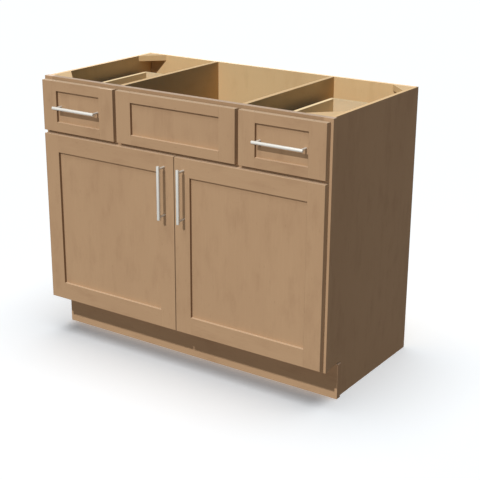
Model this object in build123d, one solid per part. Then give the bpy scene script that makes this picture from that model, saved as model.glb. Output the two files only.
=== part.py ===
"""Vanity sink base: a face-frame cabinet with two doors, two drawers and a fixed centre front.

Millimetres. +X is to the viewer's right, +Y runs back to the wall and +Z is up. The origin is on
the floor, at the centre of the footprint. The cabinet is the same left and right, so each handed
piece is modelled for the right side and mirrored.
"""

import os
from math import sqrt

from build123d import *

# Carcass
cabinet_width = 1066.8
cabinet_depth = 533.4
cabinet_height = 876.3
toe_height = 114.3
toe_recess = 73.0
toe_board_thickness = 19.05
end_thickness = 12.7
back_thickness = 12.7
floor_thickness = 12.7
partition_thickness = 15.9
housing_depth = 6.35
housing_clearance = 0.2
front_block_leg = 83.0
back_block_leg = 69.0
corner_block_thickness = 19.05

# Face frame
frame_thickness = 19.05
stile_width = 31.75
mullion_width = 50.8
rail_width = 38.1
frame_overhang = 6.35

# Doors, drawer fronts and the false front
front_thickness = 19.05
side_reveal = 8.0
top_reveal = 9.5
bottom_reveal = 11.5
row_gap = 11.5
column_gap = 12.0
door_gap = 3.0
drawer_front_width = 291.6
top_row_height = 163.2
front_stile_width = 57.0
door_rail_height = 57.0
drawer_rail_height = 31.0
panel_recess = 9.5
panel_thickness = 6.35
panel_groove_depth = 9.5
panel_face_clearance = 0.15
panel_edge_clearance = 1.5
front_edge_chamfer = 0.6
recess_edge_chamfer = 0.3

# Bumpers on the face frame
bumper_gap = 3.0
bumper_width = 8.0
bumper_edge_distance = 6.5

# Hinges
hinge_end_distance = 95.0
hinge_cup_radius = 17.4
hinge_cup_wall = 0.8
hinge_cup_edge_distance = 3.0
hinge_bore_clearance = 0.1
hinge_pivot_depth = 9.0
hinge_swing_clearance = 0.4
hinge_pin_radius = 1.2
hinge_pin_clearance = 0.05
hinge_pin_snug_clearance = 0.02
hinge_barrel_wall = 0.95
hinge_barrel_half_width = 5.5
hinge_ear_width = 3.4
hinge_running_gap = 0.3
hinge_steel = 1.2
hinge_flange_thickness = 1.0
hinge_wing_width = 20.0
hinge_wing_length = 62.0
hinge_wing_offset = 7.0
hinge_wing_chamfer = 4.0
hinge_foot_length = 40.0
hinge_foot_depth = 15.0

# Bar pulls
pull_side_clearance = 3.8
pull_end_overhang = 8.8
pull_bar_radius = 5.0
pull_post_radius = 3.2
pull_projection = 31.0
pull_end_chamfer = 0.8
door_pull_inset = 35.3
door_pull_drop = 37.0
pull_screw_radius = 2.0
pull_screw_depth = 8.0
pull_screw_end_gap = 1.0
pull_screw_clearance = 0.1
pull_screw_hole_clearance = 0.4
pull_screw_head_radius = 4.0
pull_screw_head_height = 2.4

# Drawer boxes
slide_space = 12.7
box_height = 98.0
box_depth = 460.0
box_rise = 8.0
box_thickness = 12.7
box_bottom_thickness = 6.35
box_bottom_inset = 10.0
box_groove_depth = 6.0
box_groove_clearance = 0.15
tail_count = 3
tail_pin_width = 8.0
tail_slope = 1 / 7
tail_clearance = 0.1

# Telescopic drawer slides
slide_shortfall = 3.0
slide_setback = 2.0
slide_height = 35.0
slide_rise = 32.0
slide_steel = 1.2
slide_nest_gap = 0.4
slide_web_gap = 0.8
slide_tip_gap = 0.5
bracket_steel = 1.5
bracket_overlap = 38.0
bracket_foot_width = 20.0

# Angle brackets behind the false front
angle_leg = 16.0
angle_height = 24.0
angle_steel = 1.5
angle_edge_distance = 30.0

# Places that follow from the sizes above
front_standoff = bumper_gap + front_thickness
pull_reach = pull_projection + pull_bar_radius
frame_front = (front_standoff + pull_reach - cabinet_depth) / 2
frame_back = frame_front + frame_thickness
wall_face = frame_front + cabinet_depth
back_inner = wall_face - back_thickness
front_back = frame_front - bumper_gap
front_face = front_back - front_thickness
panel_face = front_face + panel_recess

frame_half = cabinet_width / 2
opening_half = frame_half - stile_width
end_outer = frame_half - frame_overhang
end_inner = end_outer - end_thickness
front_half = frame_half - side_reveal
drawer_front_inner = front_half - drawer_front_width
mullion_offset = drawer_front_inner - column_gap / 2
mullion_inner = mullion_offset - mullion_width / 2
mullion_outer = mullion_offset + mullion_width / 2
false_front_half = mullion_offset - column_gap / 2

top_row_high = cabinet_height - top_reveal
top_row_low = top_row_high - top_row_height
door_high = top_row_low - row_gap
door_low = toe_height + bottom_reveal
top_rail_low = cabinet_height - rail_width
middle_rail_centre = door_high + row_gap / 2
middle_rail_low = middle_rail_centre - rail_width / 2
middle_rail_high = middle_rail_centre + rail_width / 2
bottom_rail_high = toe_height + rail_width
pull_length = drawer_front_width - 2 * (front_stile_width + pull_side_clearance)
pull_centres = pull_length - 2 * pull_end_overhang
slide_length = box_depth - slide_shortfall
hinge_heights = (door_low + hinge_end_distance, door_high - hinge_end_distance)

hair = 1e-4


def board(across, back, up):
    """Make a square-edged board between two values along X, Y and Z."""
    low = [min(pair) for pair in (across, back, up)]
    high = [max(pair) for pair in (across, back, up)]
    size = [b - a for a, b in zip(low, high)]
    return Pos(*low) * Box(*size, align=(Align.MIN, Align.MIN, Align.MIN))


def rod(radius, start, length, direction):
    """Make a round rod from a start point along a direction."""
    return Plane(start, z_dir=direction) * Cylinder(
        radius, length, align=(Align.CENTER, Align.CENTER, Align.MIN)
    )


def mirrored(part):
    """Mirror a right-hand piece to the left side."""
    return mirror(part, about=Plane.YZ)


def save(name, *pieces):
    """Write one node, whose pieces stay separate solids."""
    solids = [solid for piece in pieces for solid in piece.solids()]
    shape = solids[0] if len(solids) == 1 else Compound(solids)
    export_step(shape, f"parts/{name}.step")


def save_both_sides(name, *pieces):
    """Write a right-hand node and its mirror image."""
    save(f"right_{name}", *pieces)
    save(f"left_{name}", *[mirrored(piece) for piece in pieces])


def end_panel():
    """Make the right end panel with its toe notch, floor housing and back rabbet."""
    panel = board((end_inner, end_outer), (frame_back, wall_face), (0, cabinet_height))
    notch_back = frame_front + toe_recess + toe_board_thickness
    panel -= board((end_inner, end_outer), (frame_back, notch_back), (0, toe_height))
    housing = end_inner + housing_depth
    floor_low = bottom_rail_high - floor_thickness
    panel -= board((end_inner, housing), (frame_back, back_inner), (floor_low, bottom_rail_high))
    panel -= board((end_inner, housing), (back_inner, wall_face), (0, cabinet_height))
    return panel


def floor_panel():
    """Make the cabinet floor, housed in both end panels."""
    reach = end_inner + housing_depth - housing_clearance
    floor_low = bottom_rail_high - floor_thickness
    return board((-reach, reach), (frame_back, back_inner), (floor_low, bottom_rail_high))


def back_panel():
    """Make the back panel, set in the rabbets of both end panels."""
    reach = end_inner + housing_depth - housing_clearance
    return board((-reach, reach), (back_inner, wall_face), (0, cabinet_height))


def toe_board():
    """Make the toe-kick board, as wide as the face frame."""
    face = frame_front + toe_recess
    return board((-frame_half, frame_half), (face, face + toe_board_thickness), (0, toe_height))


def partition():
    """Make the right drawer-height partition between the face frame and the back."""
    half = partition_thickness / 2
    across = (mullion_offset - half, mullion_offset + half)
    return board(across, (frame_back, back_inner), (middle_rail_low, cabinet_height))


def corner_block(y_corner, direction, leg):
    """Make a triangular block in a right-hand top corner, its legs along the two boards."""
    points = [
        (end_inner, y_corner),
        (end_inner - leg, y_corner),
        (end_inner, y_corner + direction * leg),
    ]
    outline = make_face(Polyline(*points, close=True))
    block = extrude(outline, amount=corner_block_thickness, dir=(0, 0, 1))
    return Pos(0, 0, cabinet_height - corner_block_thickness) * block


def frame_rail(low, high):
    """Make a face-frame rail between the stiles."""
    return board((-opening_half, opening_half), (frame_front, frame_back), (low, high))


def frame_stile():
    """Make the right face-frame stile."""
    return board((opening_half, frame_half), (frame_front, frame_back), (toe_height, cabinet_height))


def mullion():
    """Make the right drawer mullion between the top and middle rails."""
    across = (mullion_inner, mullion_outer)
    return board(across, (frame_front, frame_back), (middle_rail_high, top_rail_low))


def front_edges(part):
    """Pick the edges that lie in the face of the fronts."""
    return part.edges().filter_by_position(Axis.Y, front_face - hair, front_face + hair)


def eased(part, is_outer, is_recess):
    """Ease the outer front edges, then the edge beside the recess."""
    part = chamfer(front_edges(part).filter_by(is_outer), front_edge_chamfer)
    return chamfer(front_edges(part).filter_by(is_recess), recess_edge_chamfer)


def groove_across():
    """Give the front and back of the panel groove."""
    return panel_face - panel_face_clearance, panel_face + panel_thickness + panel_face_clearance


def front_stile(outer, inner, low, high):
    """Make one grooved stile of a five-piece front."""
    inward = 1 if inner > outer else -1
    stile = board((outer, inner), (front_face, front_back), (low, high))
    stile -= board((inner - inward * panel_groove_depth, inner), groove_across(), (low, high))
    return eased(
        stile,
        lambda edge: abs(edge.center().X - inner) > hair,
        lambda edge: abs(edge.center().X - inner) < hair,
    )


def front_rail(left, right, outer, inner):
    """Make one grooved rail of a five-piece front, with a stub tenon at each end."""
    inward = 1 if inner > outer else -1
    groove_bottom = inner - inward * panel_groove_depth
    rail = board((left, right), (front_face, front_back), (outer, inner))
    rail -= board((left, right), groove_across(), (groove_bottom, inner))
    rail = eased(
        rail,
        lambda edge: abs(edge.center().Z - outer) < hair,
        lambda edge: abs(edge.center().Z - inner) < hair,
    )
    reach = panel_groove_depth - panel_edge_clearance
    tenon_faces = (panel_face, panel_face + panel_thickness)
    return rail + board((left - reach, right + reach), tenon_faces, (outer, groove_bottom))


def five_piece_front(left, right, low, high, rail_height):
    """Make a recessed-panel front: left stile, right stile, top rail, bottom rail and panel."""
    rail_left = left + front_stile_width
    rail_right = right - front_stile_width
    left_stile = front_stile(left, rail_left, low, high)
    right_stile = front_stile(right, rail_right, low, high)
    top_rail = front_rail(rail_left, rail_right, high, high - rail_height)
    bottom_rail = front_rail(rail_left, rail_right, low, low + rail_height)
    tuck = panel_groove_depth - panel_edge_clearance
    panel = board(
        (rail_left - tuck, rail_right + tuck),
        (panel_face, panel_face + panel_thickness),
        (low + rail_height - tuck, high - rail_height + tuck),
    )
    return left_stile, right_stile, top_rail, bottom_rail, panel


def bar_pull(centre, along):
    """Make a bar pull, its two posts standing on the face through a centre point."""
    toward_room = Vector(0, -1, 0)
    half_span = along * (pull_centres / 2)
    axis_point = centre + toward_room * pull_projection
    bar = rod(pull_bar_radius, axis_point - along * (pull_length / 2), pull_length, along)
    rims = bar.edges().filter_by(GeomType.CIRCLE)
    pull = chamfer(rims, pull_end_chamfer)
    for foot in (centre - half_span, centre + half_span):
        pull += rod(pull_post_radius, foot, pull_projection, toward_room)
    return pull


def door_pull():
    """Make the right door's upright pull, with a hole for a screw in each post."""
    pull = bar_pull(door_pull_centre(), Vector(0, 0, 1))
    for way in (-1, 1):
        foot = door_pull_centre() + Vector(0, 0, way * pull_centres / 2)
        pull -= rod(pull_screw_radius + pull_screw_clearance, foot, pull_screw_depth, (0, -1, 0))
    return pull


def door_pull_centre():
    """Give the middle of the right door's pull on the door's face."""
    upper_post = door_high - door_pull_drop
    return Vector(door_gap / 2 + door_pull_inset, front_face, upper_post - pull_centres / 2)


def door_pull_screws():
    """Make the screws that run from the back of the right meeting stile into the pull's posts."""
    screws = []
    for way in (-1, 1):
        foot = door_pull_centre() + Vector(0, 0, way * pull_centres / 2)
        seat = Vector(foot.X, front_back, foot.Z)
        shank_length = front_thickness + pull_screw_depth - pull_screw_end_gap
        shank = rod(pull_screw_radius, seat, shank_length, (0, -1, 0))
        head = rod(pull_screw_head_radius, seat, pull_screw_head_height, (0, 1, 0))
        screws.append(shank + head)
    return screws


def hinge_pivot_x():
    """Give the hinge axis's place, inset so that the door's back corner swings past the frame."""
    pivot_standoff = bumper_gap + hinge_pivot_depth
    widest_inset = sqrt(2 * pivot_standoff * bumper_gap - bumper_gap**2)
    return front_half - widest_inset + hinge_swing_clearance


def hinge_cup_x():
    """Give the middle of the hinge cup across the right door."""
    return front_half - hinge_cup_edge_distance - hinge_cup_radius


def barrel_radius():
    """Give the outer radius of the hinge arm's barrel."""
    return hinge_pin_radius + hinge_pin_clearance + hinge_barrel_wall


def hinge_cup_depth():
    """Give the outside depth of the hinge cup below the door's back face."""
    return hinge_pivot_depth + barrel_radius() + hinge_running_gap + hinge_cup_wall


def hinge_cup(height):
    """Make a hinge cup with its mounting flange and the two ears that hold the pin."""
    centre = Vector(hinge_cup_x(), front_back, height)
    into_door = (0, -1, 0)
    depth = hinge_cup_depth()
    mouth = Vector(hinge_cup_x(), front_back + hinge_flange_thickness, height)
    bowl = rod(hinge_cup_radius, mouth, depth + hinge_flange_thickness, into_door)
    wing_middle = hinge_cup_x() - hinge_wing_offset
    wing = board(
        (wing_middle - hinge_wing_width / 2, wing_middle + hinge_wing_width / 2),
        (front_back, front_back + hinge_flange_thickness),
        (height - hinge_wing_length / 2, height + hinge_wing_length / 2),
    )
    wing = chamfer(wing.edges().filter_by(Axis.Y), hinge_wing_chamfer)
    cavity_depth = depth - hinge_cup_wall + hinge_flange_thickness
    cavity = rod(hinge_cup_radius - hinge_cup_wall, mouth, cavity_depth, into_door)
    cup = bowl + wing - cavity
    pivot_y = front_back - hinge_pivot_depth
    reach = barrel_radius()
    inner = hinge_barrel_half_width + hinge_running_gap
    for way in (-1, 1):
        ear = board(
            (hinge_pivot_x() - reach, front_half),
            (front_back - depth, pivot_y + reach),
            (height + way * inner, height + way * (inner + hinge_ear_width)),
        )
        cup += ear & rod(hinge_cup_radius, centre, depth, into_door)
    hole_start = Vector(hinge_pivot_x(), pivot_y, height - inner - hinge_ear_width)
    hole_radius = hinge_pin_radius + hinge_pin_snug_clearance
    return cup - rod(hole_radius, hole_start, 2 * (inner + hinge_ear_width), (0, 0, 1))


def hinge_pin(height):
    """Make a hinge pin, held in the cup's ears."""
    half = hinge_barrel_half_width + hinge_running_gap + hinge_ear_width
    start = Vector(hinge_pivot_x(), front_back - hinge_pivot_depth, height - half)
    return rod(hinge_pin_radius, start, 2 * half, (0, 0, 1))


def hinge_arm(height):
    """Make a hinge arm: a barrel round the pin, a leg out of the cup and a foot on the frame's edge."""
    pivot_x = hinge_pivot_x()
    pivot_y = front_back - hinge_pivot_depth
    radius = barrel_radius()
    half = hinge_barrel_half_width
    foot_face = opening_half - hinge_steel
    leg_front = pivot_y - radius
    barrel = rod(radius, Vector(pivot_x, pivot_y, height - half), 2 * half, (0, 0, 1))
    leg = board((foot_face, pivot_x), (leg_front, leg_front + hinge_steel), (height - half, height + half))
    neck = board((foot_face, opening_half), (leg_front, frame_front), (height - half, height + half))
    foot = board(
        (foot_face, opening_half),
        (frame_front, frame_front + hinge_foot_depth),
        (height - hinge_foot_length / 2, height + hinge_foot_length / 2),
    )
    arm = barrel + leg + neck + foot
    hole_radius = hinge_pin_radius + hinge_pin_clearance
    return arm - rod(hole_radius, Vector(pivot_x, pivot_y, height - half), 2 * half, (0, 0, 1))


def door_pieces():
    """Make the right door's stiles, rails and panel, with its hinge bores and pull holes."""
    pieces = five_piece_front(door_gap / 2, front_half, door_low, door_high, door_rail_height)
    meeting_stile, hinge_stile, top_rail, bottom_rail, panel = pieces
    for height in hinge_heights:
        mouth = Vector(hinge_cup_x(), front_back, height)
        bore_radius = hinge_cup_radius + hinge_bore_clearance
        hinge_stile -= rod(bore_radius, mouth, hinge_cup_depth(), (0, -1, 0))
    for way in (-1, 1):
        foot = door_pull_centre() + Vector(0, 0, way * pull_centres / 2)
        seat = Vector(foot.X, front_back, foot.Z)
        hole_radius = pull_screw_radius + pull_screw_hole_clearance
        meeting_stile -= rod(hole_radius, seat, front_thickness, (0, -1, 0))
    return meeting_stile, hinge_stile, top_rail, bottom_rail, panel


def tail(x_low, y_tip, y_root, height, spread):
    """Make one dovetail through a box side's thickness, wide at its tip."""
    half_tip = (box_height / tail_count - tail_pin_width) / 2 + spread
    half_root = half_tip - box_thickness * tail_slope
    points = [
        (y_root, height - half_root),
        (y_tip, height - half_tip),
        (y_tip, height + half_tip),
        (y_root, height + half_root),
    ]
    outline = Plane.YZ * make_face(Polyline(*points, close=True))
    return Pos(x_low, 0, 0) * extrude(outline, amount=box_thickness, dir=(1, 0, 0))


def box_ends():
    """Give the outside front and back of a drawer box."""
    return front_back, front_back + box_depth


def box_low():
    """Give the underside of a drawer box."""
    return middle_rail_high + box_rise


def box_sides_across():
    """Give the outside faces of the right drawer box, left then right."""
    return mullion_outer + slide_space, opening_half - slide_space


def tail_heights():
    """Give the middle height of each dovetail."""
    pitch = box_height / tail_count
    return [box_low() + pitch * (index + 0.5) for index in range(tail_count)]


def box_bottom(clearance):
    """Make the right drawer's bottom panel, or with a clearance the groove that holds it."""
    left, right = box_sides_across()
    front, back = box_ends()
    tuck = box_thickness - box_groove_depth
    low = box_low() + box_bottom_inset
    return board(
        (left + tuck - clearance, right - tuck + clearance),
        (front + tuck - clearance, back - tuck + clearance),
        (low - clearance, low + box_bottom_thickness + clearance),
    )


def box_side(x_low):
    """Make one drawer side with its dovetails and the bottom panel's groove."""
    front, back = box_ends()
    shoulders = (front + box_thickness, back - box_thickness)
    side = board((x_low, x_low + box_thickness), shoulders, (box_low(), box_low() + box_height))
    for tip, root in zip((front, back), shoulders):
        for height in tail_heights():
            side += tail(x_low, tip, root, height, 0)
    return side - box_bottom(box_groove_clearance)


def box_end(y_outer, y_inner):
    """Make a drawer box's front or back with sockets for the dovetails of both sides."""
    left, right = box_sides_across()
    end = board((left, right), (y_outer, y_inner), (box_low(), box_low() + box_height))
    for x_low in (left, right - box_thickness):
        for height in tail_heights():
            end -= tail(x_low, y_outer, y_inner, height, tail_clearance)
    return end - box_bottom(box_groove_clearance)


def slide_channel(edge, inward, web, tip, half_height, start):
    """Make a C-shaped slide member between its web and its tips, measured in from a bay's edge."""
    opens = 1 if tip > web else -1
    middle = box_low() + slide_rise
    outer = board(
        (edge + inward * web, edge + inward * tip),
        (start, start + slide_length),
        (middle - half_height, middle + half_height),
    )
    hollow_half = half_height - slide_steel
    hollow = board(
        (edge + inward * (web + opens * slide_steel), edge + inward * tip),
        (start, start + slide_length),
        (middle - hollow_half, middle + hollow_half),
    )
    return outer - hollow


def drawer_slide(edge, inward):
    """Make one slide of the right drawer: cabinet, middle and drawer members."""
    start = frame_front + slide_setback
    outer_half = slide_height / 2
    middle_half = outer_half - slide_steel - slide_nest_gap
    inner_half = middle_half - slide_steel - slide_nest_gap
    middle_web = slide_steel + slide_web_gap
    inner_tip = middle_web + slide_steel + slide_web_gap
    middle_tip = slide_space - slide_steel - slide_tip_gap
    outer_tip = middle_tip - slide_web_gap
    cabinet_member = slide_channel(edge, inward, 0, outer_tip, outer_half, start)
    middle_member = slide_channel(edge, inward, middle_web, middle_tip, middle_half, start)
    drawer_member = slide_channel(edge, inward, slide_space, inner_tip, inner_half, start)
    return cabinet_member, middle_member, drawer_member


def slide_bracket(edge, inward):
    """Make the rear bracket that ties a cabinet member to the back panel."""
    member_end = frame_front + slide_setback + slide_length
    middle = box_low() + slide_rise
    up = (middle - slide_height / 2, middle + slide_height / 2)
    strap = board((edge - inward * bracket_steel, edge), (member_end - bracket_overlap, back_inner), up)
    foot = board(
        (edge - inward * bracket_steel, edge + inward * bracket_foot_width),
        (back_inner - bracket_steel, back_inner),
        up,
    )
    return strap + foot


def angle_bracket(middle):
    """Make an angle bracket between the right mullion's inner edge and the false front's stile."""
    up = (middle - angle_height / 2, middle + angle_height / 2)
    on_mullion = board(
        (mullion_inner - angle_steel, mullion_inner), (front_back, frame_front + angle_leg), up
    )
    on_front = board((mullion_inner - angle_leg, mullion_inner), (front_back, front_back + angle_steel), up)
    return on_mullion + on_front


def bumpers():
    """Make the frame's square bumper pads for the right door and the right drawer front."""
    door_x = door_gap / 2 + bumper_edge_distance
    drawer_x = front_half - bumper_edge_distance
    places = [
        (door_x, door_high - bumper_edge_distance),
        (door_x, door_low + bumper_edge_distance),
        (drawer_x, top_row_high - bumper_edge_distance),
        (drawer_x, top_row_low + bumper_edge_distance),
    ]
    half = bumper_width / 2
    across = (front_back, frame_front)
    return [board((x - half, x + half), across, (z - half, z + half)) for x, z in places]


os.makedirs("parts", exist_ok=True)

# Carcass and face frame
save_both_sides("end_panel", end_panel())
save("bottom_panel", floor_panel())
save("back_panel", back_panel())
save("toe_kick_board", toe_board())
save_both_sides("partition", partition())
right_blocks = [
    corner_block(frame_back, 1, front_block_leg),
    corner_block(back_inner, -1, back_block_leg),
]
save("corner_blocks", *right_blocks, *[mirrored(block) for block in right_blocks])
save_both_sides("stile", frame_stile())
save("top_rail", frame_rail(top_rail_low, cabinet_height))
save("middle_rail", frame_rail(middle_rail_low, middle_rail_high))
save("bottom_rail", frame_rail(toe_height, bottom_rail_high))
save("drawer_mullions", mullion(), mirrored(mullion()))
right_bumpers = bumpers()
save("frame_bumpers", *right_bumpers, *[mirrored(bumper) for bumper in right_bumpers])

# Fixed centre front
false_front = five_piece_front(
    -false_front_half, false_front_half, top_row_low, top_row_high, drawer_rail_height
)
save("false_front_stiles", *false_front[0:2])
save("false_front_rails", *false_front[2:4])
save("false_front_panel", false_front[4])
angle_heights = (middle_rail_high + angle_edge_distance, top_rail_low - angle_edge_distance)
angles = [angle_bracket(height) for height in angle_heights]
save("false_front_brackets", *angles, *[mirrored(angle) for angle in angles])

# Doors and their hinges
meeting_stile, hinge_stile, door_top_rail, door_bottom_rail, door_panel = door_pieces()
save_both_sides("door_meeting_stile", meeting_stile)
save_both_sides("door_hinge_stile", hinge_stile)
save_both_sides("door_top_rail", door_top_rail)
save_both_sides("door_bottom_rail", door_bottom_rail)
save_both_sides("door_panel", door_panel)
save_both_sides("door_pull", door_pull())
save_both_sides("door_pull_screws", *door_pull_screws())
save_both_sides("door_hinge_cups", *[hinge_cup(height) for height in hinge_heights])
save_both_sides("door_hinge_pins", *[hinge_pin(height) for height in hinge_heights])
arms = [hinge_arm(height) for height in hinge_heights]
save("hinge_arms", *arms, *[mirrored(arm) for arm in arms])

# Drawers and their slides
drawer_front = five_piece_front(
    drawer_front_inner, front_half, top_row_low, top_row_high, drawer_rail_height
)
save_both_sides("drawer_front_stiles", *drawer_front[0:2])
save_both_sides("drawer_front_rails", *drawer_front[2:4])
save_both_sides("drawer_front_panel", drawer_front[4])
drawer_pull_centre = Vector(
    (drawer_front_inner + front_half) / 2, panel_face, (top_row_low + top_row_high) / 2
)
save_both_sides("drawer_pull", bar_pull(drawer_pull_centre, Vector(1, 0, 0)))
box_left, box_right = box_sides_across()
box_front_y, box_back_y = box_ends()
save_both_sides("drawer_box_sides", box_side(box_left), box_side(box_right - box_thickness))
save_both_sides("drawer_box_front", box_end(box_front_y, box_front_y + box_thickness))
save_both_sides("drawer_box_back", box_end(box_back_y, box_back_y - box_thickness))
save_both_sides("drawer_bottom", box_bottom(0))
bay_edges = ((mullion_outer, 1), (opening_half, -1))
slides = [drawer_slide(edge, inward) for edge, inward in bay_edges]
cabinet_members, middle_members, drawer_members = zip(*slides)
save("cabinet_slide_members", *cabinet_members, *[mirrored(member) for member in cabinet_members])
save_both_sides("slide_middle_members", *middle_members)
save_both_sides("drawer_slide_members", *drawer_members)
brackets = [slide_bracket(edge, inward) for edge, inward in bay_edges]
save("slide_rear_brackets", *brackets, *[mirrored(bracket) for bracket in brackets])
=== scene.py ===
"""Dress the vanity sink base: maple and metal finishes, pulls, fasteners, light and camera.

Metres. +X is to the viewer's right, +Y runs back to the wall and +Z is up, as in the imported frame.
"""

import logging
import math
from dataclasses import dataclass, field, replace
from enum import Enum
from typing import Callable, Iterable, Optional, Union

import bmesh
import bpy
from mathutils import Matrix, Vector

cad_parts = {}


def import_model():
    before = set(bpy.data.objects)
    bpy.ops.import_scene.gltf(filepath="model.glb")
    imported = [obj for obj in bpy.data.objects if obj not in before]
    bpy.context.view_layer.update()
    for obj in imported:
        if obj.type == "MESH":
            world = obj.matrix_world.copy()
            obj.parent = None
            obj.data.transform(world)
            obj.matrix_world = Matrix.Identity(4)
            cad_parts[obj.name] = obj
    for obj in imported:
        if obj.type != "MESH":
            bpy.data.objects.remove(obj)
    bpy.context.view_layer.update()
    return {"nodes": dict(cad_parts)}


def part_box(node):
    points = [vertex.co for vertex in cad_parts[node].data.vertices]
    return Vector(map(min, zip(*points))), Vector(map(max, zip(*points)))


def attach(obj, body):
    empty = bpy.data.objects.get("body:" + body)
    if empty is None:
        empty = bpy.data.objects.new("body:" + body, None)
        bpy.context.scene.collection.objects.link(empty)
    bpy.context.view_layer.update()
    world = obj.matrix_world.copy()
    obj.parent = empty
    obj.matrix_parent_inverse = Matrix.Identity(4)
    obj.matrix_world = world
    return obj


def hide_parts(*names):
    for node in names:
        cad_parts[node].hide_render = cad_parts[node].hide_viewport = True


LOG = logging.getLogger("vanity_sink_base")
MM = 0.001
UP = Vector((0, 0, 1))
BACK = Vector((0, 1, 0))
MERGE_DISTANCE = 1e-6
PULL_SPACING = 152.4 * MM

# The colour sockets of a Mix node, by index
MIX_A = 6
MIX_B = 7
MIX_RESULT = 2

# The least cosine at which a face is taken to look along an axis
FACING = 0.8

Colour = tuple[float, float, float, float]
Piece = bpy.types.Object
Seat = tuple[Vector, Vector]
Operand = Union["Wire", float]


class Side(Enum):
    """The two hands of the cabinet, with the sign of X on each."""

    LEFT = -1
    RIGHT = 1

    @property
    def word(self) -> str:
        """Give the word that starts the names of this side's pieces."""
        return self.name.lower()


class Grain(Enum):
    """The way a board's grain runs, as the order in which X, Y and Z give across, depth and along."""

    UPRIGHT = ("X", "Y", "Z")
    ACROSS = ("Z", "Y", "X")
    DEEP = ("X", "Z", "Y")


def paint(red: int, green: int, blue: int) -> Colour:
    """Turn a display colour of 0 to 255 into the linear colour that shaders use.

    Args:
        red: Red on the display.
        green: Green on the display.
        blue: Blue on the display.

    Returns:
        The linear colour, with full alpha.
    """
    shares = [value / 255 for value in (red, green, blue)]
    linear = [s / 12.92 if s <= 0.04045 else ((s + 0.055) / 1.055) ** 2.4 for s in shares]
    return (linear[0], linear[1], linear[2], 1.0)


class Wire:
    """One shader socket, so that sums on it are written as Python expressions."""

    def __init__(self, shader: "Shader", socket: bpy.types.NodeSocket) -> None:
        """Keep the socket and the shader that it belongs to."""
        self.shader = shader
        self.socket = socket

    def maths(self, operation: str, left: Operand, right: Operand = 0.0) -> "Wire":
        """Add a Math node.

        Args:
            operation: The Math node's operation.
            left: Its first value.
            right: Its second value.

        Returns:
            The node's result.
        """
        node = self.shader.node("ShaderNodeMath", {"operation": operation}, {0: left, 1: right})
        return Wire(self.shader, node.outputs[0])

    def __add__(self, other: Operand) -> "Wire":
        """Add two values."""
        return self.maths("ADD", self, other)

    def __radd__(self, other: Operand) -> "Wire":
        """Add two values."""
        return self.maths("ADD", other, self)

    def __sub__(self, other: Operand) -> "Wire":
        """Take one value from another."""
        return self.maths("SUBTRACT", self, other)

    def __rsub__(self, other: Operand) -> "Wire":
        """Take one value from another."""
        return self.maths("SUBTRACT", other, self)

    def __mul__(self, other: Operand) -> "Wire":
        """Multiply two values."""
        return self.maths("MULTIPLY", self, other)

    def __gt__(self, other: Operand) -> "Wire":
        """Give one where this value is the larger, and nothing elsewhere."""
        return self.maths("GREATER_THAN", self, other)

    def __abs__(self) -> "Wire":
        """Give the size of a value without its sign."""
        return self.maths("ABSOLUTE", self)

    def larger(self, other: Operand) -> "Wire":
        """Give the larger of two values."""
        return self.maths("MAXIMUM", self, other)


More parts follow.
